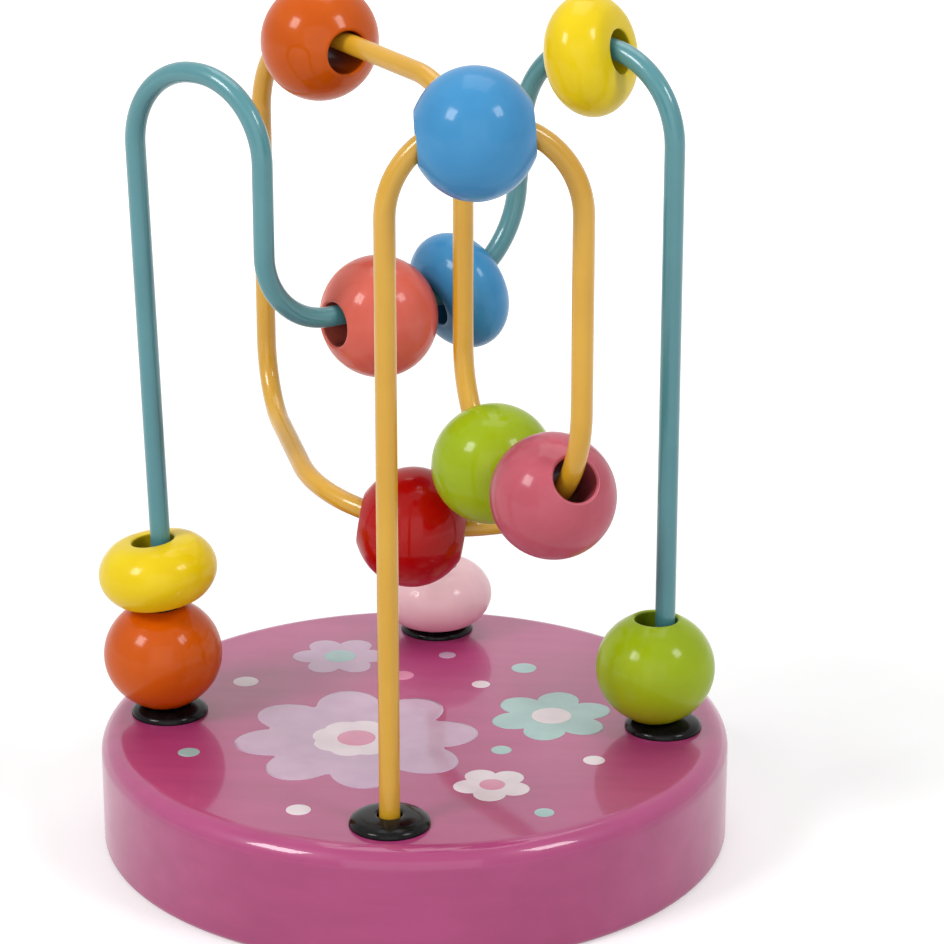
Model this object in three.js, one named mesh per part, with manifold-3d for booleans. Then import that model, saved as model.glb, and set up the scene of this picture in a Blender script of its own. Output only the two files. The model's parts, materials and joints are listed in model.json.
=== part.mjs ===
// Bead maze: a round wooden base carries two bent wires, and twelve wooden beads run along them.
// Units are millimetres, +Z is up, and the origin is the middle of the underside of the base.
// One wire runs from the left foot (-X) to the right foot (+X), the other from front (-Y) to back (+Y).
import * as THREE from "three";
import { mergeVertices } from "three/addons/utils/BufferGeometryUtils.js";
import Module from "manifold-3d";

// Base
const BASE_DIAMETER = 106;
const BASE_THICKNESS = 19.5;
const BASE_TOP_ROUND = 3.5;
const BASE_BOTTOM_ROUND = 1.2;
const FOOT_CIRCLE_RADIUS = 42;

// Wires
const WIRE_DIAMETER = 3.4;
const WIRE_DEPTH_IN_BASE = 14;

// Collars, pressed into the base round the wire ends
const COLLAR_DIAMETER = 13;
const COLLAR_EDGE = 0.7;
const COLLAR_HEIGHT = 1.9;
const COLLAR_SHANK_DIAMETER = 8;
const COLLAR_SHANK_LENGTH = 6;
const HOLE_MOUTH = 1;

// Beads
const BEAD_DIAMETER = 20;
const BEAD_LENGTH = 17.5;
const DISC_BEAD_LENGTH = 11;
const DISC_BEAD_CROWN = 14;
const BEAD_BORE = 7;
const BEAD_MOUTH_ROUND = 0.7;

// Gap that touching pieces keep
const FIT_GAP = 0.3;

// Facets
const BASE_FACETS = 72;
const BASE_TOP_STEPS = 5;
const BASE_BOTTOM_STEPS = 2;
const BEAD_FACETS = 24;
const BEAD_CROWN_STEPS = 8;
const BEAD_MOUTH_STEPS = 2;
const COLLAR_FACETS = 20;
const DOME_STEPS = 4;
const WIRE_FACETS = 10;
const BEND_STEP = THREE.MathUtils.degToRad(12);

// Left to right wire: two arches with a level dip between them, set askew over the base
const LEFT_ARCH_TOP = 131.5;
const RIGHT_ARCH_TOP = 133.5;
const SIDE_LEG_LEAN = 3;
const SIDE_LEG_LEAN_START = 27;
const LEFT_INNER_LEG = [-22, -14.5];
const SIDE_DIP_HEIGHT = 92;
const RIGHT_INNER_LEG_FOOT = [14.6, 16.5];
const RIGHT_INNER_LEG_HEAD = [17.8, 17.5];
const LEFT_DIP_BEND = 12;
const RIGHT_DIP_BEND = 17;
const LEAN_BEND = 40;

// Front to back wire: front arch, deep dip, back arch, then a low sweep round the middle to the back foot
const FRONT_ARCH_TOP = 131.5;
const FRONT_INNER_LEG = [29.3, -38];
const DEEP_DIP_HEIGHT = 67;
const MIDDLE_LEG = [8.5, -3];
const MIDDLE_LEG_HEAD = 128.5;
const MIDDLE_LEG_BEND = 13;
const BACK_LEFT_LEG = [-29.3, 36];
const BACK_LEFT_LEG_HEAD = 134;
const BACK_LEFT_HEAD_BEND = 16;
const BACK_LEFT_LEG_FOOT = 65;
const BACK_LEFT_FOOT_BEND = 13;
const SWEEP_FRONT = [-11, -13.4, 56.5];
const SWEEP_FRONT_BEND = 22;
const SWEEP_RIGHT = [29, 10.8, 53];
const SWEEP_RIGHT_BEND = 16;
const BACK_FOOT_HEAD = 48;
const BACK_FOOT_BEND = 8;

// Flat left on top of a full arch or under a full dip, between its two quarter bends
const FULL_BEND_FLAT = 1;

// Places of the beads along the wires: degrees round their bends
const BLUE_DISC_ANGLE = 18;
const DIP_BEAD_SPACING = 1.6;
const YELLOW_DISC_ANGLE = -12;
const BLUE_BALL_ANGLE = 86;
const DEEP_DIP_SHIFT = 3;
const ORANGE_BALL_ANGLE = 2;
const RED_BALL_ANGLE = 69;

const wasm = await Module();
wasm.setup();

/** A closed three.js geometry as a solid for joining and cutting. */
function solidFrom(geometry) {
  const bare = geometry.clone();
  bare.deleteAttribute("normal");
  bare.deleteAttribute("uv");
  const merged = mergeVertices(bare, 1e-4);
  return new wasm.Manifold(
    new wasm.Mesh({
      numProp: 3,
      vertProperties: merged.attributes.position.array,
      triVerts: new Uint32Array(merged.index.array),
    }),
  );
}

/** A solid as a flat-shaded three.js geometry. */
function geometryFrom(solid) {
  const mesh = solid.getMesh();
  const geometry = new THREE.BufferGeometry();
  geometry.setAttribute("position", new THREE.BufferAttribute(mesh.vertProperties, mesh.numProp));
  geometry.setIndex(new THREE.BufferAttribute(mesh.triVerts, 1));
  const facets = geometry.toNonIndexed();
  facets.computeVertexNormals();
  return facets;
}

/** Points of a circular arc in a lathe profile, where x is the radius and y runs along the axis. */
function arc(x, y, radius, fromDegrees, toDegrees, steps) {
  return Array.from({ length: steps + 1 }, (_, i) => {
    const angle = THREE.MathUtils.degToRad(fromDegrees + ((toDegrees - fromDegrees) * i) / steps);
    return new THREE.Vector2(x + radius * Math.cos(angle), y + radius * Math.sin(angle));
  });
}

/** A lathe profile turned about +Z. */
function turned(profile, facets) {
  return new THREE.LatheGeometry(profile, facets).rotateX(Math.PI / 2);
}

/** Painted, coated or moulded surface of one piece. */
function finish(color, roughness, metalness = 0) {
  return new THREE.MeshStandardMaterial({ color, roughness, metalness });
}

/** A wire bent at its corners. Each corner is [x, y, z, bend radius], and the two ends have no bend. */
class BentWire extends THREE.Curve {
  constructor(corners) {
    super();
    const points = corners.map(([x, y, z]) => new THREE.Vector3(x, y, z));
    this.bends = [];
    this.runs = [];
    this.stations = [];
    let runStart = points[0];
    for (let i = 1; i < points.length - 1; i++) {
      const bend = BentWire.bendAt(points[i - 1], points[i], points[i + 1], corners[i][3]);
      this.addRun(runStart, bend.start);
      this.addBend(bend);
      runStart = bend.end;
    }
    this.addRun(runStart, points.at(-1));
  }

  /** The arc that rounds off one corner, tangent to both of its legs. */
  static bendAt(before, corner, after, radius) {
    const arriving = corner.clone().sub(before).normalize();
    const leaving = after.clone().sub(corner).normalize();
    const sweep = arriving.angleTo(leaving);
    const reach = radius * Math.tan(sweep / 2);
    const start = corner.clone().addScaledVector(arriving, -reach);
    const end = corner.clone().addScaledVector(leaving, reach);
    const axis = arriving.clone().cross(leaving).normalize();
    const inward = axis.clone().cross(arriving);
    const centre = start.clone().addScaledVector(inward, radius);
    return { start, end, centre, axis, outward: inward.negate(), sweep, radius };
  }

  addStation(point, tangent) {
    this.stations.push({ point, tangent });
  }

  addRun(start, end) {
    const direction = end.clone().sub(start).normalize();
    this.runs.push({ start, end, direction });
    if (this.stations.length === 0) this.addStation(start, direction);
    this.addStation(end, direction);
  }

  addBend(bend) {
    this.bends.push(bend);
    const steps = Math.ceil(bend.sweep / BEND_STEP);
    for (let i = 1; i <= steps; i++) {
      const spoke = bend.outward.clone().applyAxisAngle(bend.axis, (bend.sweep * i) / steps);
      const point = bend.centre.clone().addScaledVector(spoke, bend.radius);
      this.addStation(point, bend.axis.clone().cross(spoke));
    }
  }

  getPointAt(share) {
    return this.stations[Math.round(share * (this.stations.length - 1))].point.clone();
  }

  getTangentAt(share) {
    return this.stations[Math.round(share * (this.stations.length - 1))].tangent.clone();
  }

  /** The wire as a solid round bar along its stations. */
  bar(diameter) {
    const section = new THREE.Shape(arc(0, 0, diameter / 2, 0, 360, WIRE_FACETS).slice(0, -1));
    return new THREE.ExtrudeGeometry(section, {
      extrudePath: this,
      steps: this.stations.length - 1,
    });
  }
}

/** Bend radius of a full half circle between two upright legs. */
function fullBend([x1, y1], [x2, y2]) {
  return (Math.hypot(x2 - x1, y2 - y1) - FULL_BEND_FLAT) / 2;
}

const toy = new THREE.Group();

const wireEnd = BASE_THICKNESS - WIRE_DEPTH_IN_BASE;
const feet = {
  left: [-FOOT_CIRCLE_RADIUS, 0],
  right: [FOOT_CIRCLE_RADIUS, 0],
  front: [0, -FOOT_CIRCLE_RADIUS],
  back: [0, FOOT_CIRCLE_RADIUS],
};

// Wooden base: a turned disc with a rounded rim and a stepped blind hole for each wire end
const baseRadius = BASE_DIAMETER / 2;
const baseProfile = [
  new THREE.Vector2(0, 0),
  ...arc(baseRadius - BASE_BOTTOM_ROUND, BASE_BOTTOM_ROUND, BASE_BOTTOM_ROUND, -90, 0, BASE_BOTTOM_STEPS),
  ...arc(baseRadius - BASE_TOP_ROUND, BASE_THICKNESS - BASE_TOP_ROUND, BASE_TOP_ROUND, 0, 90, BASE_TOP_STEPS),
  new THREE.Vector2(0, BASE_THICKNESS),
];
const collarHoleRadius = COLLAR_SHANK_DIAMETER / 2 + FIT_GAP;
const wireHoleRadius = WIRE_DIAMETER / 2 + FIT_GAP;
const shankHoleFloor = BASE_THICKNESS - COLLAR_SHANK_LENGTH - FIT_GAP;
const footHoleProfile = [
  new THREE.Vector2(0, wireEnd - FIT_GAP),
  new THREE.Vector2(wireHoleRadius, wireEnd - FIT_GAP),
  new THREE.Vector2(wireHoleRadius, shankHoleFloor),
  new THREE.Vector2(collarHoleRadius, shankHoleFloor),
  new THREE.Vector2(collarHoleRadius, BASE_THICKNESS + HOLE_MOUTH),
  new THREE.Vector2(0, BASE_THICKNESS + HOLE_MOUTH),
];
let baseSolid = solidFrom(turned(baseProfile, BASE_FACETS));
for (const [x, y] of Object.values(feet)) {
  const hole = turned(footHoleProfile, COLLAR_FACETS).translate(x, y, 0);
  baseSolid = baseSolid.subtract(solidFrom(hole));
}
const base = new THREE.Mesh(geometryFrom(baseSolid), finish(0xb54a84, 0.35));
base.name = "base_disc";
toy.add(base);

// Collars: domed plastic caps with a shank pressed into the base and a bore for the wire
const domeRise = COLLAR_HEIGHT - COLLAR_EDGE;
const collarRadius = COLLAR_DIAMETER / 2;
const collarBoreRadius = WIRE_DIAMETER / 2 + FIT_GAP;

/** Height of the collar's dome above the base at a radius from its middle. */
function domeHeight(radius) {
  return COLLAR_EDGE + domeRise * (1 - (radius / collarRadius) ** 2);
}
const domeCurve = Array.from({ length: DOME_STEPS + 1 }, (_, i) => {
  const radius = collarRadius + ((collarBoreRadius - collarRadius) * i) / DOME_STEPS;
  return new THREE.Vector2(radius, domeHeight(radius));
});
const collarProfile = [
  new THREE.Vector2(collarBoreRadius, -COLLAR_SHANK_LENGTH),
  new THREE.Vector2(COLLAR_SHANK_DIAMETER / 2, -COLLAR_SHANK_LENGTH),
  new THREE.Vector2(COLLAR_SHANK_DIAMETER / 2, 0),
  new THREE.Vector2(collarRadius, 0),
  ...domeCurve,
  new THREE.Vector2(collarBoreRadius, -COLLAR_SHANK_LENGTH),
];
for (const [side, [x, y]] of Object.entries(feet)) {
  const collar = new THREE.Mesh(turned(collarProfile, COLLAR_FACETS), finish(0x101012, 0.25));
  collar.name = `${side}_collar`;
  collar.position.set(x, y, BASE_THICKNESS);
  toy.add(collar);
}

// Wires: coated steel bar, bent by hand
const leftLegHead = [feet.left[0] - SIDE_LEG_LEAN, feet.left[1]];
const sideWire = new BentWire([
  [...feet.left, wireEnd],
  [...feet.left, SIDE_LEG_LEAN_START, LEAN_BEND],
  [...leftLegHead, LEFT_ARCH_TOP, fullBend(leftLegHead, LEFT_INNER_LEG)],
  [...LEFT_INNER_LEG, LEFT_ARCH_TOP, fullBend(leftLegHead, LEFT_INNER_LEG)],
  [...LEFT_INNER_LEG, SIDE_DIP_HEIGHT, LEFT_DIP_BEND],
  [...RIGHT_INNER_LEG_FOOT, SIDE_DIP_HEIGHT, RIGHT_DIP_BEND],
  [...RIGHT_INNER_LEG_HEAD, RIGHT_ARCH_TOP, fullBend(RIGHT_INNER_LEG_HEAD, feet.right)],
  [...feet.right, RIGHT_ARCH_TOP, fullBend(RIGHT_INNER_LEG_HEAD, feet.right)],
  [...feet.right, wireEnd],
]);
const frontBackWire = new BentWire([
  [...feet.front, wireEnd],
  [...feet.front, FRONT_ARCH_TOP, fullBend(feet.front, FRONT_INNER_LEG)],
  [...FRONT_INNER_LEG, FRONT_ARCH_TOP, fullBend(feet.front, FRONT_INNER_LEG)],
  [...FRONT_INNER_LEG, DEEP_DIP_HEIGHT, fullBend(FRONT_INNER_LEG, MIDDLE_LEG)],
  [...MIDDLE_LEG, DEEP_DIP_HEIGHT, fullBend(FRONT_INNER_LEG, MIDDLE_LEG)],
  [...MIDDLE_LEG, MIDDLE_LEG_HEAD, MIDDLE_LEG_BEND],
  [...BACK_LEFT_LEG, BACK_LEFT_LEG_HEAD, BACK_LEFT_HEAD_BEND],
  [...BACK_LEFT_LEG, BACK_LEFT_LEG_FOOT, BACK_LEFT_FOOT_BEND],
  [...SWEEP_FRONT, SWEEP_FRONT_BEND],
  [...SWEEP_RIGHT, SWEEP_RIGHT_BEND],
  [...feet.back, BACK_FOOT_HEAD, BACK_FOOT_BEND],
  [...feet.back, wireEnd],
]);
for (const [name, wire, color] of [
  ["teal_wire", sideWire, 0x3f9a9c],
  ["yellow_wire", frontBackWire, 0xf3b93a],
]) {
  const bar = new THREE.Mesh(wire.bar(WIRE_DIAMETER), finish(color, 0.3));
  bar.name = name;
  toy.add(bar);
}

// Beads: turned wood, a bored ball or a flatter bored disc, both loose on the wire
const BALL = { length: BEAD_LENGTH, crown: BEAD_DIAMETER };
const DISC = { length: DISC_BEAD_LENGTH, crown: DISC_BEAD_CROWN };
const PALETTE = {
  orange: 0xe0731c,
  yellow: 0xf2d21b,
  lime: 0x9acb3a,
  palePink: 0xf3b3c4,
  salmon: 0xe2707a,
  blue: 0x5a9bd8,
  pink: 0xe07a9c,
  red: 0xc3202c,
};

/** Bead turned about +Y: an ellipse cut off flat at both ends, bored through, with rounded mouths. */
function beadGeometry({ length, crown }) {
  const half = length / 2;
  const bore = BEAD_BORE / 2;
  const endAngle = THREE.MathUtils.radToDeg(Math.asin(length / crown));
  const outside = arc(0, 0, 1, -endAngle, endAngle, BEAD_CROWN_STEPS).map(
    ({ x, y }) => new THREE.Vector2((x * BEAD_DIAMETER) / 2, (y * crown) / 2),
  );
  const mouth = half - BEAD_MOUTH_ROUND;
  return new THREE.LatheGeometry(
    [
      ...outside,
      ...arc(bore + BEAD_MOUTH_ROUND, mouth, BEAD_MOUTH_ROUND, 90, 180, BEAD_MOUTH_STEPS),
      ...arc(bore + BEAD_MOUTH_ROUND, -mouth, BEAD_MOUTH_ROUND, 180, 270, BEAD_MOUTH_STEPS),
      outside[0],
    ],
    BEAD_FACETS,
  );
}

function beadMesh(name, shape, color) {
  const bead = new THREE.Mesh(beadGeometry(shape), finish(color, 0.3));
  bead.name = name;
  return bead;
}

/** Free play of the bead's bore round the wire, to one side. */
const borePlay = (BEAD_BORE - WIRE_DIAMETER) / 2;
const hang = borePlay - FIT_GAP;

/** Rise of a bent wire over half the length of a bead. */
function bowUnder({ length }, radius) {
  return length ** 2 / (8 * radius);
}

/** Group whose X, Y and Z axes are the given directions. */
function framed(origin, x, y, z) {
  const frame = new THREE.Group();
  frame.position.copy(origin);
  frame.quaternion.setFromRotationMatrix(new THREE.Matrix4().makeBasis(x, y, z));
  return frame;
}

/** Frame at the middle of a bend: X points at the bead, Y along the wire and Z along the axis of the bend. */
function bendFrame(bend, degrees) {
  const spoke = bend.outward.clone().applyAxisAngle(bend.axis, THREE.MathUtils.degToRad(degrees));
  return framed(bend.centre, spoke, bend.axis.clone().cross(spoke), bend.axis);
}

/** Bead that hangs inside an arch, carried by the wire at the top of its bore. */
function beadOnArch(name, shape, color, bend, degrees) {
  const frame = bendFrame(bend, degrees);
  const bead = beadMesh(name, shape, color);
  bead.position.x = bend.radius - hang;
  frame.add(bead);
  toy.add(frame);
}

/** Bead that lies in a dip, carried by the wire at both mouths of its bore. */
function beadInDip(name, shape, color, bend, degrees) {
  const frame = bendFrame(bend, degrees);
  const bead = beadMesh(name, shape, color);
  bead.position.x = bend.radius + hang - bowUnder(shape, bend.radius);
  frame.add(bead);
  toy.add(frame);
}

/** Bead that hangs on a level bend, whose axis is upright. */
function beadOnSweep(name, shape, color, bend, degrees) {
  const frame = bendFrame(bend, degrees);
  const bead = beadMesh(name, shape, color);
  const inward = bowUnder(shape, bend.radius) / 2;
  bead.position.set(bend.radius - inward, 0, -Math.sqrt(hang ** 2 - inward ** 2));
  frame.add(bead);
  toy.add(frame);
}

/** Frame on a straight run, a distance past its start: Y runs along the wire and X is square to it and level. */
function runFrame(run, distance) {
  const origin = run.start.clone().addScaledVector(run.direction, distance);
  const upright = Math.abs(run.direction.z) > Math.SQRT1_2;
  const reference = upright ? new THREE.Vector3(0, 1, 0) : new THREE.Vector3(0, 0, 1);
  const x = run.direction.clone().cross(reference).normalize();
  return framed(origin, x, run.direction, x.clone().cross(run.direction));
}

/** Bead on a straight run, moved to one side of the wire by a shift along the frame's X and Z. */
function beadOnRun(name, shape, color, run, distance, [shiftX, shiftZ]) {
  const frame = runFrame(run, distance);
  const bead = beadMesh(name, shape, color);
  bead.position.set(shiftX, 0, shiftZ);
  frame.add(bead);
  toy.add(frame);
}

// Foot beads stand on the collars, where the flat round the mouth of the bore meets the dome
const mouthRadius = BEAD_BORE / 2 + BEAD_MOUTH_ROUND;
const footStand = BASE_THICKNESS + domeHeight(mouthRadius - hang) + FIT_GAP;
const leftLeg = sideWire.runs[1];
const rightLeg = sideWire.runs.at(-1);
const backLeg = frontBackWire.runs.at(-1);
const ballStand = footStand + BALL.length / 2;
const discStand = footStand + DISC.length / 2;
const stackStand = ballStand + (BALL.length + DISC.length) / 2 + FIT_GAP;

// Each foot bead leans to one side of its wire: outwards on the left, inwards on the right and at the back
const leftLean = [hang / 2, 0];
const rightLean = [-hang, 0];
const backLean = [0, -hang];

/** Distance along an upright run at which it passes a height. */
function alongAt(run, height) {
  return (height - run.start.z) / run.direction.z;
}
const leftBallPlace = alongAt(leftLeg, ballStand);
const leftStackPlace = alongAt(leftLeg, stackStand);
beadOnRun("orange_foot_bead", BALL, PALETTE.orange, leftLeg, leftBallPlace, leftLean);
beadOnRun("yellow_stack_bead", DISC, PALETTE.yellow, leftLeg, leftStackPlace, leftLean);
beadOnRun("lime_foot_bead", BALL, PALETTE.lime, rightLeg, alongAt(rightLeg, ballStand), rightLean);
beadOnRun("pale_pink_foot_bead", DISC, PALETTE.palePink, backLeg, alongAt(backLeg, discStand), backLean);

// Beads on the left to right wire: the blue disc lies against the salmon ball in the dip
const dipRun = sideWire.runs[4];
const dipBend = sideWire.bends[4];
const blueDiscPlace =
  dipRun.start.distanceTo(dipRun.end) + dipBend.radius * THREE.MathUtils.degToRad(BLUE_DISC_ANGLE);
const salmonPlace = blueDiscPlace - (BALL.length + DISC.length) / 2 - DIP_BEAD_SPACING;
beadOnRun("salmon_dip_bead", BALL, PALETTE.salmon, dipRun, salmonPlace, [0, -hang]);
beadInDip("blue_dip_bead", DISC, PALETTE.blue, dipBend, BLUE_DISC_ANGLE);
beadOnArch("yellow_arch_bead", DISC, PALETTE.yellow, sideWire.bends[6], YELLOW_DISC_ANGLE);

// Beads on the front to back wire: the pink and lime balls lie side by side in the deep dip
const deepDipRadius = frontBackWire.bends[2].radius;
const pairAngle = THREE.MathUtils.radToDeg(Math.asin((BEAD_DIAMETER + FIT_GAP) / 2 / deepDipRadius));
beadOnArch("blue_arch_bead", BALL, PALETTE.blue, frontBackWire.bends[0], BLUE_BALL_ANGLE);
beadInDip("pink_dip_bead", BALL, PALETTE.pink, frontBackWire.bends[2], 90 - pairAngle - DEEP_DIP_SHIFT);
beadInDip("lime_dip_bead", BALL, PALETTE.lime, frontBackWire.bends[3], pairAngle - DEEP_DIP_SHIFT);
beadOnArch("orange_arch_bead", BALL, PALETTE.orange, frontBackWire.bends[5], ORANGE_BALL_ANGLE);
beadOnSweep("red_sweep_bead", BALL, PALETTE.red, frontBackWire.bends[7], RED_BALL_ANGLE);

export default toy;
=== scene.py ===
import json

import bmesh
import bpy
import numpy as np
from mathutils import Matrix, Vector


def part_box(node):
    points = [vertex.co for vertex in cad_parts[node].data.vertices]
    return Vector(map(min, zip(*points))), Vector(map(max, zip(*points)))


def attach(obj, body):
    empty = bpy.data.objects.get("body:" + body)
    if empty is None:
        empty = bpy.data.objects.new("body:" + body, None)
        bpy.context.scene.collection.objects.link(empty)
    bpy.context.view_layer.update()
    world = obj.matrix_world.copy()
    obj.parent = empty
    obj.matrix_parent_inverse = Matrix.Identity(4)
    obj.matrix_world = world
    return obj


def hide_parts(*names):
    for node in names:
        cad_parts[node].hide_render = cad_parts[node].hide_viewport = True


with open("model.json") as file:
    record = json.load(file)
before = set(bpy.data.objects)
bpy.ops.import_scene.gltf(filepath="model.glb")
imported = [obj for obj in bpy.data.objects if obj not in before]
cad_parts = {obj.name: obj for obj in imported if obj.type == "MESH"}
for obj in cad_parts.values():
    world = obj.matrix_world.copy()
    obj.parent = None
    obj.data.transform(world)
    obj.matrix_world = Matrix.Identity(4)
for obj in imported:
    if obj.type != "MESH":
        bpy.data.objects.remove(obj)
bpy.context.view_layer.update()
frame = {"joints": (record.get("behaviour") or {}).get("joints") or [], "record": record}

# Round base
# A disc of close-grained wood, turned with a full rounded rim and a small round underneath.
# It is sprayed with magenta-pink lacquer, glossy enough to mirror the beads that stand on it.
MM = 0.001
BASE_RADIUS = 53 * MM
BASE_THICKNESS = 19.5 * MM
BASE_TOP_ROUND = 3.5 * MM
BASE_BOTTOM_ROUND = 1.2 * MM
UNDERSIDE_RINGS = np.array([0, 25, 50, 51.6]) * MM
SIDE_RINGS = np.array([1.6, 8.5, 15.6]) * MM
TOP_RINGS = np.array([49.2, 40, 20, 0]) * MM
BASE_SEGMENTS = 240
GRAIN_SHARE = 0.3


def quarter_round(radius, height, round_radius, start, stop, steps):
    """Profile points (radius, height) on a circle arc: the arc's centre plus round_radius times
    the cosine and sine of the angle."""
    angle = np.radians(np.linspace(start, stop, steps + 1))
    out, up = round_radius * np.cos(angle), round_radius * np.sin(angle)
    return np.stack([radius + out, height + up], axis=1)


def turned_grid(profile, segments):
    """Surface of revolution about Z: the profile's radius times the cosine and sine of the turn,
    and its height."""
    turn = np.linspace(0, 2 * np.pi, segments, endpoint=False)
    radius, height = profile[:, :1], profile[:, 1:]
    return np.stack([radius * np.cos(turn), radius * np.sin(turn), height + 0 * turn], axis=-1)


def surface_piece(name, grid, rows_closed):
    """Mesh over a grid of points whose columns run round in a ring: one quad for each cell, with
    poles merged."""
    rows, columns = grid.shape[:2]
    index = np.arange(rows * columns).reshape(rows, columns)
    index = np.hstack([index, index[:, :1]])
    if rows_closed:
        index = np.vstack([index, index[:1]])
    corners = [index[:-1, :-1], index[:-1, 1:], index[1:, 1:], index[1:, :-1]]
    quads = np.stack(corners, axis=-1).reshape(-1, 4)
    mesh = bpy.data.meshes.new(name)
    mesh.from_pydata(grid.reshape(-1, 3).tolist(), [], quads.tolist())
    work = bmesh.new()
    work.from_mesh(mesh)
    bmesh.ops.remove_doubles(work, verts=work.verts, dist=1e-8)
    bmesh.ops.recalc_face_normals(work, faces=work.faces)
    work.to_mesh(mesh)
    work.free()
    mesh.shade_smooth()
    piece = bpy.data.objects.new(name, mesh)
    bpy.context.scene.collection.objects.link(piece)
    return piece


def paint_colour(red, green, blue):
    """Linear colour of an sRGB colour given from 0 to 255."""
    share = np.array([red, green, blue]) / 255
    light = np.where(share <= 0.04045, share / 12.92, ((share + 0.055) / 1.055) ** 2.4)
    return (*light.tolist(), 1.0)


def new_finish(name):
    """New node material, with its tree and its shader."""
    material = bpy.data.materials.new(name)
    material.use_nodes = True
    return material, material.node_tree, material.node_tree.nodes["Principled BSDF"]


def own_place(tree):
    """The piece's own coordinates."""
    return tree.nodes.new("ShaderNodeTexCoord").outputs["Object"]


def noise_on(tree, coordinates, scale, detail, stretch=(1, 1, 1)):
    """Noise over a piece's own coordinates, stretched along their axes."""
    mapping = tree.nodes.new("ShaderNodeMapping")
    mapping.inputs["Scale"].default_value = stretch
    tree.links.new(coordinates, mapping.inputs["Vector"])
    noise = tree.nodes.new("ShaderNodeTexNoise")
    noise.inputs["Scale"].default_value = scale
    noise.inputs["Detail"].default_value = detail
    tree.links.new(mapping.outputs["Vector"], noise.inputs["Vector"])
    return noise.outputs["Fac"]


def blended(tree, factor, low, high):
    """Colour that goes from low to high as the factor goes from a third to two thirds."""
    ramp = tree.nodes.new("ShaderNodeValToRGB")
    ramp.color_ramp.elements[0].position = 0.34
    ramp.color_ramp.elements[0].color = low
    ramp.color_ramp.elements[1].position = 0.66
    ramp.color_ramp.elements[1].color = high
    tree.links.new(factor, ramp.inputs["Fac"])
    return ramp.outputs["Color"]


def layered(tree, share, under, over):
    """Colour that lies a fixed share of the way from the under layer's to the over layer's."""
    mix = tree.nodes.new("ShaderNodeMix")
    mix.data_type = "RGBA"
    mix.inputs["Factor"].default_value = share
    tree.links.new(under, mix.inputs["A"])
    tree.links.new(over, mix.inputs["B"])
    return mix.outputs["Result"]


def spread(tree, factor, low, high):
    """Number that goes from low to high as the factor goes from a third to two thirds."""
    span = tree.nodes.new("ShaderNodeMapRange")
    span.inputs["From Min"].default_value = 0.34
    span.inputs["From Max"].default_value = 0.66
    span.inputs["To Min"].default_value = low
    span.inputs["To Max"].default_value = high
    tree.links.new(factor, span.inputs["Value"])
    return span.outputs["Result"]


def uneven(tree, height, strength, depth):
    """Bump of a given depth in metres."""
    bump = tree.nodes.new("ShaderNodeBump")
    bump.inputs["Strength"].default_value = strength
    bump.inputs["Distance"].default_value = depth
    tree.links.new(height, bump.inputs["Height"])
    return bump.outputs["Normal"]


def base_lacquer():
    """Pink lacquer: faint cloudy colour, fine orange peel under a clear gloss, and soft handling
    smears."""
    material, tree, shader = new_finish("base_lacquer")
    place = own_place(tree)
    cloud = noise_on(tree, place, 38, 4)
    grain = noise_on(tree, place, 260, 5, (0.12, 1, 1))
    peel = noise_on(tree, place, 900, 2)
    smear = noise_on(tree, place, 55, 3, (1, 0.4, 1))
    lacquer = blended(tree, cloud, paint_colour(168, 56, 112), paint_colour(176, 62, 120))
    wood = blended(tree, grain, paint_colour(158, 50, 106), paint_colour(184, 68, 126))
    tree.links.new(layered(tree, GRAIN_SHARE, lacquer, wood), shader.inputs["Base Color"])
    tree.links.new(spread(tree, smear, 0.3, 0.44), shader.inputs["Roughness"])
    tree.links.new(uneven(tree, peel, 0.12, 0.05 * MM), shader.inputs["Normal"])
    shader.inputs["Specular IOR Level"].default_value = 0.3
    shader.inputs["Coat Weight"].default_value = 0.7
    shader.inputs["Coat Roughness"].default_value = 0.07
    return material


foot_round = (BASE_RADIUS - BASE_BOTTOM_ROUND, BASE_BOTTOM_ROUND, BASE_BOTTOM_ROUND)
rim_round = (BASE_RADIUS - BASE_TOP_ROUND, BASE_THICKNESS - BASE_TOP_ROUND, BASE_TOP_ROUND)
base_profile = np.vstack([
    np.stack([UNDERSIDE_RINGS, 0 * UNDERSIDE_RINGS], axis=1),
    quarter_round(*foot_round, -90, 0, 8),
    np.stack([0 * SIDE_RINGS + BASE_RADIUS, SIDE_RINGS], axis=1),
    quarter_round(*rim_round, 0, 90, 20),
    np.stack([TOP_RINGS, 0 * TOP_RINGS + BASE_THICKNESS], axis=1),
])
base = surface_piece("turned_base", turned_grid(base_profile, BASE_SEGMENTS), rows_closed=False)
base.data.materials.append(base_lacquer())
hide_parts("base_disc")
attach(base, "stand")

# Flower print on the base
# Flowers and dots screen-printed on the lacquer in opaque inks, one film for each colour.
# The films lie a few hundredths of a millimetre proud, so their edges stay crisp.
INK_POINTS = 144
PETAL_FULLNESS = 0.75
FILM = 0.03
SECOND_FILM = 0.05
THIRD_FILM = 0.07


def ink_patch(x, y, reach, petals, notch, lift, turn=0.0):
    """Flat petalled disc: the reach shrinks by notch between petals, as a power of the cosine of
    half the petal angle. The film falls off over its edge and ends just inside the base."""
    around = np.linspace(0, 2 * np.pi, INK_POINTS, endpoint=False)
    petal = np.abs(np.cos(petals * (around - turn) / 2)) ** PETAL_FULLNESS
    edge = reach * (1 - notch * (1 - petal))
    share = np.array([0, 0.5, 0.97, 1, 1])[:, None]
    height = BASE_THICKNESS + np.array([lift, lift, lift, lift - 0.012, -0.02])[:, None] * MM
    ink_x = (x + share * edge * np.cos(around)) * MM
    ink_y = (y + share * edge * np.sin(around)) * MM
    return np.stack([ink_x, ink_y, height + 0 * ink_x], axis=-1)


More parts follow.
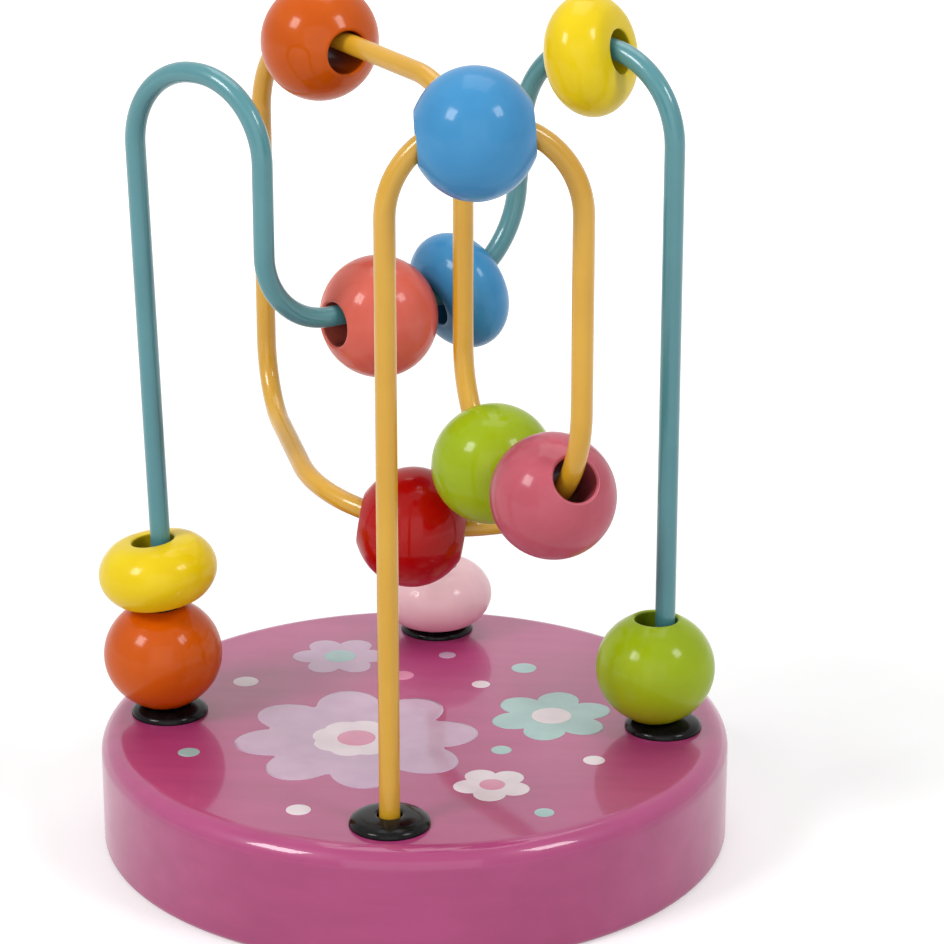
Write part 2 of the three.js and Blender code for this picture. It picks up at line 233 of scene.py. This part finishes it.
def ink(name, low, high):
    """Printing ink: a slightly mottled satin film with a fine screen texture."""
    material, tree, shader = new_finish(name)
    place = own_place(tree)
    mottle = noise_on(tree, place, 220, 5)
    screen = noise_on(tree, place, 1900, 1)
    tree.links.new(blended(tree, mottle, low, high), shader.inputs["Base Color"])
    tree.links.new(spread(tree, mottle, 0.3, 0.42), shader.inputs["Roughness"])
    tree.links.new(uneven(tree, screen, 0.1, 0.03 * MM), shader.inputs["Normal"])
    shader.inputs["Coat Weight"].default_value = 0.6
    shader.inputs["Coat Roughness"].default_value = 0.1
    return material


lilac = ink("lilac_ink", paint_colour(190, 154, 184), paint_colour(200, 168, 194))
cream = ink("cream_ink", paint_colour(226, 210, 218), paint_colour(236, 222, 228))
mint = ink("mint_ink", paint_colour(150, 184, 182), paint_colour(164, 198, 194))
rose = ink("rose_ink", paint_colour(214, 128, 162), paint_colour(224, 140, 174))
for name, colour, patch in [
    ("lilac_petals", lilac, (-9, -9, 20.5, 8, 0.3, FILM, 0.2)),
    ("cream_heart", cream, (-9, -9, 7.5, 8, 0.1, SECOND_FILM, 0.6)),
    ("rose_eye", rose, (-9, -9, 3.2, 1, 0, THIRD_FILM)),
    ("mint_petals", mint, (23, 3, 10.5, 6, 0.34, FILM, 0.4)),
    ("mint_eye", cream, (23, 3, 3.4, 1, 0, SECOND_FILM)),
    ("small_petals", cream, (15, -26, 6.4, 5, 0.32, FILM, 0.9)),
    ("small_eye", rose, (15, -26, 2.1, 1, 0, SECOND_FILM)),
    ("back_petals", lilac, (-16, 27, 8.4, 6, 0.32, FILM, 0.1)),
    ("back_eye", mint, (-16, 27, 2.8, 1, 0, SECOND_FILM)),
]:
    film = surface_piece(name, ink_patch(*patch), rows_closed=False)
    film.data.materials.append(colour)
    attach(film, "stand")
for number, (x, y, reach, colour) in enumerate([
    (-36, -17, 1.8, mint), (-31, 14, 2.2, cream), (-4, 19, 2.0, rose), (10, 16, 1.6, cream),
    (17, 24, 2.2, mint), (31, -15, 1.8, cream), (-15, -38, 2.0, cream), (24, -36, 1.6, mint),
    (15.5, -12, 1.7, mint), (3, 29, 1.5, lilac),
]):
    patch = ink_patch(x, y, reach, 1, 0, FILM)
    dot = surface_piece(f"print_dot_{number}", patch, rows_closed=False)
    dot.data.materials.append(colour)
    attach(dot, "stand")

# Collars
# Small black caps moulded in glossy plastic, with a shank pressed into the base round each wire.
# A low dome with a full round edge lies on the lacquer and rises to the wire.
COLLAR_RADIUS = 6.5 * MM
COLLAR_HEIGHT = 1.72 * MM
COLLAR_BORE = 2.0 * MM
SEAT_RADIUS = 5.9 * MM
SHANK_RADIUS = 4.0 * MM
SHANK_LENGTH = 6.0 * MM
COLLAR_SEGMENTS = 72
FEET = {"left": (-42, 0), "right": (42, 0), "front": (0, -42), "back": (0, 42)}


def collar_plastic():
    """Black gloss plastic: a deep colour with a trace of dust, and fine mould marks in its
    gloss."""
    material, tree, shader = new_finish("collar_plastic")
    place = own_place(tree)
    dust = noise_on(tree, place, 420, 5)
    flow = noise_on(tree, place, 1500, 2)
    dusty = blended(tree, dust, paint_colour(8, 7, 8), paint_colour(20, 18, 19))
    tree.links.new(dusty, shader.inputs["Base Color"])
    tree.links.new(spread(tree, dust, 0.1, 0.22), shader.inputs["Roughness"])
    tree.links.new(uneven(tree, flow, 0.08, 0.04 * MM), shader.inputs["Normal"])
    shader.inputs["Specular IOR Level"].default_value = 0.15
    return material


def button_dome(radius, height, bore):
    """Dome points (radius, height): a fat ellipse, the root of the cosine outwards and a power of
    the sine upwards."""
    turn = np.linspace(0, np.arccos((bore / radius) ** 2), 30)
    return np.stack([radius * np.cos(turn) ** 0.5, height * np.sin(turn) ** 0.8], axis=1)


dome = button_dome(COLLAR_RADIUS, COLLAR_HEIGHT, COLLAR_BORE + 0.25 * MM)
dome_top = dome[-1, 1]
collar_profile = np.vstack([
    [[COLLAR_BORE, -SHANK_LENGTH], [SHANK_RADIUS, -SHANK_LENGTH]],
    [[SHANK_RADIUS, 0], [SEAT_RADIUS, 0]],
    dome,
    [[COLLAR_BORE + 0.06 * MM, dome_top - 0.07 * MM], [COLLAR_BORE, dome_top - 0.28 * MM]],
])
black = collar_plastic()
for side, (x, y) in FEET.items():
    turned_cap = turned_grid(collar_profile, COLLAR_SEGMENTS)
    foot = np.array([x * MM, y * MM, BASE_THICKNESS])
    collar = surface_piece(f"{side}_cap", turned_cap + foot, rows_closed=True)
    collar.data.materials.append(black)
    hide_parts(f"{side}_collar")
    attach(collar, "stand")

# Wires
# Two steel rods bent cold to arches and dips, then dipped in a smooth coloured coating.
# Their ends stand in blind holes under the collars. Corners are x, y, z and the bend, in mm.
WIRE_RADIUS = 1.68 * MM
WIRE_SIDES = 28
WIRE_END = 5.5
END_RING = 0.4 * MM
BEND_STEPS = 40
TEAL_CORNERS = [
    (-42, 0, WIRE_END, 0), (-42, 0, 27, 40), (-45, 0, 131.5, 13.1),
    (-22, -14.5, 131.5, 13.1), (-22, -14.5, 92, 12), (14.6, 16.5, 92, 17),
    (17.8, 17.5, 133.5, 14.4), (42, 0, 133.5, 14.4), (42, 0, WIRE_END, 0),
]
YELLOW_CORNERS = [
    (0, -42, WIRE_END, 0), (0, -42, 131.5, 14.3), (29.3, -38, 131.5, 14.3),
    (29.3, -38, 67, 19.9), (8.5, -3, 67, 19.9), (8.5, -3, 128.5, 13),
    (-29.3, 36, 134, 16), (-29.3, 36, 65, 13), (-11, -13.4, 56.5, 22),
    (29, 10.8, 53, 16), (0, 42, 48, 8), (0, 42, WIRE_END, 0),
]


def wire_course(corners):
    """Points and directions along a bent rod: straight legs, and at each corner the circle arc
    that touches both legs, from the cosine and sine of the turn made so far. A point just inside
    each end keeps the end caps from bending the shading of the long legs."""
    corner = np.array(corners, dtype=float)[:, :3] * MM
    bend = np.array(corners, dtype=float)[1:-1, 3:] * MM
    leg = np.diff(corner, axis=0)
    leg /= np.linalg.norm(leg, axis=1, keepdims=True)
    arriving, leaving = leg[:-1], leg[1:]
    sweep = np.arccos(np.sum(arriving * leaving, axis=1, keepdims=True))
    axis = np.cross(arriving, leaving)
    axis /= np.linalg.norm(axis, axis=1, keepdims=True)
    inward = np.cross(axis, arriving)
    start = corner[1:-1] - arriving * bend * np.tan(sweep / 2)
    angle = (sweep * np.linspace(0, 1, BEND_STEPS + 1))[..., None]
    arc = inward[:, None] * (1 - np.cos(angle)) + arriving[:, None] * np.sin(angle)
    points = start[:, None] + bend[:, None] * arc
    ways = inward[:, None] * np.sin(angle) + arriving[:, None] * np.cos(angle)
    foot, tail = corner[:1] + leg[:1] * END_RING, corner[-1:] - leg[-1:] * END_RING
    points = np.vstack([corner[:1], foot, points.reshape(-1, 3), tail, corner[-1:]])
    ways = np.vstack([leg[:1], leg[:1], ways.reshape(-1, 3), leg[-1:], leg[-1:]])
    return points, ways


def round_bar(points, ways, radius, sides):
    """Circle carried along a course, square to its direction, closed to a point at both ends."""
    across = np.cross(ways, [0.0, 1.0, 0.0])
    across /= np.linalg.norm(across, axis=1, keepdims=True)
    upright = np.cross(ways, across)
    around = np.linspace(0, 2 * np.pi, sides, endpoint=False)[None, :, None]
    ring = across[:, None] * np.cos(around) + upright[:, None] * np.sin(around)
    grid = points[:, None] + radius * ring
    ends = [np.repeat(points[end][None, None], sides, axis=1) for end in (0, -1)]
    return np.concatenate([ends[0], grid, ends[1]])


def wire_coating(name, low, high):
    """Smooth coloured coating: slight colour drift along the rod, fine ripples and a soft gloss."""
    material, tree, shader = new_finish(name)
    place = own_place(tree)
    drift = noise_on(tree, place, 70, 4)
    ripple = noise_on(tree, place, 650, 3, (1, 1, 0.25))
    tree.links.new(blended(tree, drift, low, high), shader.inputs["Base Color"])
    tree.links.new(spread(tree, ripple, 0.3, 0.38), shader.inputs["Roughness"])
    tree.links.new(uneven(tree, ripple, 0.05, 0.03 * MM), shader.inputs["Normal"])
    shader.inputs["Specular IOR Level"].default_value = 0.35
    shader.inputs["Coat Weight"].default_value = 0.6
    shader.inputs["Coat Roughness"].default_value = 0.07
    return material


for name, node, slot, corners, low, high in [
    ("teal_rod", "teal_wire", "teal_coating", TEAL_CORNERS, (74, 138, 146), (82, 146, 154)),
    ("yellow_rod", "yellow_wire", "yellow_coating", YELLOW_CORNERS, (215, 160, 34), (223, 169, 42)),
]:
    bar = round_bar(*wire_course(corners), WIRE_RADIUS, WIRE_SIDES)
    rod = surface_piece(name, bar, rows_closed=False)
    rod.data.materials.append(wire_coating(slot, paint_colour(*low), paint_colour(*high)))
    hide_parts(node)
    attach(rod, "stand")

# Beads
# Wooden balls and flatter discs, turned, bored and rounded at the mouths, then tumbled in gloss
# paint. Each is loose on its wire, its bore along the joint, and three lean within their play.
BEAD_RADIUS = 10 * MM
BORE_RADIUS = 3.55 * MM
MOUTH_ROUND = 0.5 * MM
END_TURN = np.radians(11)
BALL = (17.5 * MM, 19 * MM)
DISC = (11 * MM, 14 * MM)
DISC_BEADS = {"yellow_stack_bead", "pale_pink_foot_bead", "blue_dip_bead", "yellow_arch_bead"}
LEANING_BEADS = {
    "yellow_stack_bead": ((-0.11, 0.0, 0.0), (0.0, 0.0, 0.4 * MM)),
    "yellow_arch_bead": ((0.103, 0.177, -0.004), (0.0, 0.0, 0.1 * MM)),
    "orange_arch_bead": ((0.079, 0.069, 0.0), (0.0, 0.0, 0.0)),
}
BEAD_SEGMENTS = 72
BEAD_PAINTS = {
    "orange_paint": ((204, 84, 0), (212, 92, 2)),
    "yellow_paint": ((240, 206, 12), (246, 216, 22)),
    "lime_paint": ((154, 178, 14), (164, 188, 22)),
    "pale_pink_paint": ((240, 196, 204), (246, 206, 212)),
    "salmon_paint": ((216, 98, 82), (224, 108, 92)),
    "blue_paint": ((60, 140, 194), (70, 150, 204)),
    "pink_paint": ((188, 84, 100), (198, 94, 110)),
    "red_paint": ((176, 2, 0), (186, 8, 2)),
}
WOOD_SHARE = 0.4
# Painted shade in the bores: the paint colour scaled down by the first number, mixed in at the
# second share.
BORE_SHADE_SCALE = 0.42
BORE_SHADE_SHARE = 0.85


def bead_profile(length, crown):
    """Closed outline (radius, height) of a bored bead: an ellipse, whose ends turn into the flat
    round the bore along a parabola that touches both, then a quarter circle into the bore."""
    end = np.arcsin(length / crown) - END_TURN
    along = np.linspace(-end, end, 45)
    outside = np.stack([BEAD_RADIUS * np.cos(along), crown / 2 * np.sin(along)], axis=1)
    mouth_radius = BORE_RADIUS + MOUTH_ROUND
    shoulder, flat = outside[-1], np.array([mouth_radius, length / 2])
    rise = (length - crown * np.sin(end)) / (crown * np.cos(end))
    corner = np.array([shoulder[0] - BEAD_RADIUS * np.sin(end) * rise, length / 2])
    share = np.linspace(0, 1, 10)[1:-1, None]
    pull = 2 * share * (1 - share)
    turn_in = (1 - share) ** 2 * shoulder + pull * corner + share ** 2 * flat
    mouth = length / 2 - MOUTH_ROUND
    top = quarter_round(mouth_radius, mouth, MOUTH_ROUND, 90, 180, 8)
    inside = np.stack([np.full(5, BORE_RADIUS), np.linspace(mouth, -mouth, 7)[1:-1]], axis=1)
    bottom = quarter_round(mouth_radius, -mouth, MOUTH_ROUND, 180, 270, 8)
    return np.vstack([outside, turn_in, top, inside, bottom, turn_in[::-1] * [1, -1]])


def bead_paint(name, low, high):
    """Gloss paint on turned wood: grain and turning rings barely show through, the gloss is a
    little uneven, and the bore is darkened with painted shade."""
    material, tree, shader = new_finish(name)
    place = tree.nodes.new("ShaderNodeAttribute")
    place.attribute_name = "bead_place"
    grain = noise_on(tree, place.outputs["Vector"], 330, 5, (1, 1, 0.14))
    rings = noise_on(tree, place.outputs["Vector"], 420, 3, (0.05, 0.05, 1))
    cloud = noise_on(tree, place.outputs["Vector"], 120, 3)
    cover, wood = blended(tree, cloud, low, high), blended(tree, grain, low, high)
    # Painted shade: inside the bore the paint turns to a darker copy of itself.
    shaded_bore = tree.nodes.new("ShaderNodeMix")
    shaded_bore.data_type = "RGBA"
    shaded_bore.inputs["B"].default_value = (*(BORE_SHADE_SCALE * np.array(low[:3])).tolist(), 1.0)
    inside = tree.nodes.new("ShaderNodeAttribute")
    inside.attribute_name = "bore_shade_share"
    tree.links.new(inside.outputs["Fac"], shaded_bore.inputs["Factor"])
    tree.links.new(layered(tree, WOOD_SHARE, cover, wood), shaded_bore.inputs["A"])
    tree.links.new(shaded_bore.outputs["Result"], shader.inputs["Base Color"])
    tree.links.new(spread(tree, cloud, 0.28, 0.4), shader.inputs["Roughness"])
    tree.links.new(uneven(tree, rings, 0.06, 0.06 * MM), shader.inputs["Normal"])
    shader.inputs["Specular IOR Level"].default_value = 0.06
    shader.inputs["Coat Weight"].default_value = 0.32
    shader.inputs["Coat Roughness"].default_value = 0.11
    return material


paints = {
    name: bead_paint(name, paint_colour(*low), paint_colour(*high))
    for name, (low, high) in BEAD_PAINTS.items()
}
node_paint = {part["node"]: part["material_slot"] for part in frame["record"]["subparts"]}
for joint in frame["joints"]:
    node = joint["child"]
    low_corner, high_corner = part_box(node)
    middle = (np.array(low_corner) + np.array(high_corner)) / 2
    bore = np.array(joint["axis"], dtype=float)
    if joint["type"] == "hinge":
        bore = np.cross(bore, middle - np.array(joint["pos_m"]))
    bore /= np.linalg.norm(bore)
    lean, lift = LEANING_BEADS.get(node, (np.zeros(3), np.zeros(3)))
    bore, middle = bore + lean, middle + lift
    bore /= np.linalg.norm(bore)
    across = np.cross(bore, [0.0, 1.0, 0.0])
    across /= np.linalg.norm(across)
    outline = bead_profile(*(DISC if node in DISC_BEADS else BALL))
    local = turned_grid(outline, BEAD_SEGMENTS)
    turned = local @ np.array([across, np.cross(bore, across), bore])
    bead = surface_piece(f"{node}_turned", middle + turned, rows_closed=True)
    place = bead.data.attributes.new("bead_place", "FLOAT_VECTOR", "POINT")
    place.data.foreach_set("vector", (local + middle * 3).astype(np.float32).ravel())
    # The bore, marked for the painted shade that darkens its paint.
    in_bore = np.linalg.norm(local[..., :2], axis=-1) < BORE_RADIUS + 0.1 * MM
    shaded_bore = bead.data.attributes.new("bore_shade_share", "FLOAT", "POINT")
    shaded_bore.data.foreach_set("value", in_bore.astype(np.float32).ravel() * BORE_SHADE_SHARE)
    bead.data.materials.append(paints[node_paint[node]])
    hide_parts(node)
    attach(bead, node)

# Table and light
# A plain white table under the toy, soft lamps on both sides and above, and a wide faint one in
# front. The room is white where it is seen or mirrored, and softer where it lights the toy.
TABLE_RADIUS = 5
TABLE_GREY = 0.72
GLOW_STARTS, GLOW_AT_TOY = 0.12, 0.4
GLOW_ENDS, GLOW_FAR = 0.7, 1.0
ROOM_LIGHT, ROOM_SEEN = 0.27, 1.0
TOY_MIDDLE = Vector((0, 0, 0.07))


def seen_directly(tree):
    """1 for rays from the camera, off a gloss or through glass, otherwise 0: the largest of the
    three."""
    path = tree.nodes.new("ShaderNodeLightPath")
    largest = path.outputs["Is Camera Ray"]
    for kind in ("Is Glossy Ray", "Is Transmission Ray"):
        step = tree.nodes.new("ShaderNodeMath")
        step.operation = "MAXIMUM"
        tree.links.new(largest, step.inputs[0])
        tree.links.new(path.outputs[kind], step.inputs[1])
        largest = step.outputs["Value"]
    return largest


bpy.ops.mesh.primitive_circle_add(vertices=96, radius=TABLE_RADIUS, fill_type="NGON")
table = bpy.context.object
table.name = "table"
white, tree, shader = new_finish("table_white")
tree.nodes.remove(shader)
matt = tree.nodes.new("ShaderNodeBsdfDiffuse")
matt.inputs["Color"].default_value = (TABLE_GREY, TABLE_GREY, TABLE_GREY, 1)
spot = tree.nodes.new("ShaderNodeVectorMath")
spot.operation = "LENGTH"
tree.links.new(own_place(tree), spot.inputs[0])
fade = tree.nodes.new("ShaderNodeMapRange")
fade.inputs["From Min"].default_value = GLOW_STARTS
fade.inputs["From Max"].default_value = GLOW_ENDS
fade.inputs["To Min"].default_value = GLOW_AT_TOY
fade.inputs["To Max"].default_value = GLOW_FAR
tree.links.new(spot.outputs["Value"], fade.inputs["Value"])
lift = tree.nodes.new("ShaderNodeMath")
lift.operation = "MULTIPLY"
tree.links.new(seen_directly(tree), lift.inputs[0])
tree.links.new(fade.outputs["Result"], lift.inputs[1])
glow = tree.nodes.new("ShaderNodeEmission")
tree.links.new(lift.outputs["Value"], glow.inputs["Strength"])
both = tree.nodes.new("ShaderNodeAddShader")
tree.links.new(matt.outputs["BSDF"], both.inputs[0])
tree.links.new(glow.outputs["Emission"], both.inputs[1])
tree.links.new(both.outputs["Shader"], tree.nodes["Material Output"].inputs["Surface"])
table.data.materials.append(white)

room = bpy.data.worlds.new("white_room")
bpy.context.scene.world = room
room.use_nodes = True
tree = room.node_tree
backdrop = tree.nodes["Background"]
backdrop.inputs["Color"].default_value = (1, 1, 1, 1)
level = tree.nodes.new("ShaderNodeMapRange")
level.inputs["To Min"].default_value = ROOM_LIGHT
level.inputs["To Max"].default_value = ROOM_SEEN
tree.links.new(seen_directly(tree), level.inputs["Value"])
tree.links.new(level.outputs["Result"], backdrop.inputs["Strength"])

for name, place, size, power in [
    ("left_softbox", (-0.85, -0.7, 0.95), 0.42, 9.2),
    ("right_softbox", (0.95, -0.5, 1.05), 0.36, 5.6),
    ("top_softbox", (0.05, 0.35, 1.15), 0.7, 3.5),
    ("front_softbox", (0.1, -1.35, 0.42), 1.2, 4.0),
]:
    lamp = bpy.data.lights.new(name, "AREA")
    lamp.size = size
    lamp.energy = power
    softbox = bpy.data.objects.new(name, lamp)
    softbox.location = place
    softbox.rotation_euler = (TOY_MIDDLE - Vector(place)).to_track_quat("-Z", "Y").to_euler()
    bpy.context.scene.collection.objects.link(softbox)

# Camera
# A long lens a little above the toy and a touch to its right, fitted to the base, the wire feet
# and the beads in the photograph.
SENSOR_WIDTH = 36
LENS = 122.03
CAMERA_PLACE = Vector((0.0487, -0.49846, 0.23368))
CAMERA_AIM = Vector((0.00963, 0.00075, 0.0637))
camera_data = bpy.data.cameras.new("camera")
camera_data.sensor_width = SENSOR_WIDTH
camera_data.lens = LENS
camera = bpy.data.objects.new("camera", camera_data)
camera.location = CAMERA_PLACE
camera.rotation_euler = (CAMERA_AIM - CAMERA_PLACE).to_track_quat("-Z", "Y").to_euler()
bpy.context.scene.collection.objects.link(camera)
bpy.context.scene.camera = camera
bpy.context.scene.view_settings.view_transform = "Standard"
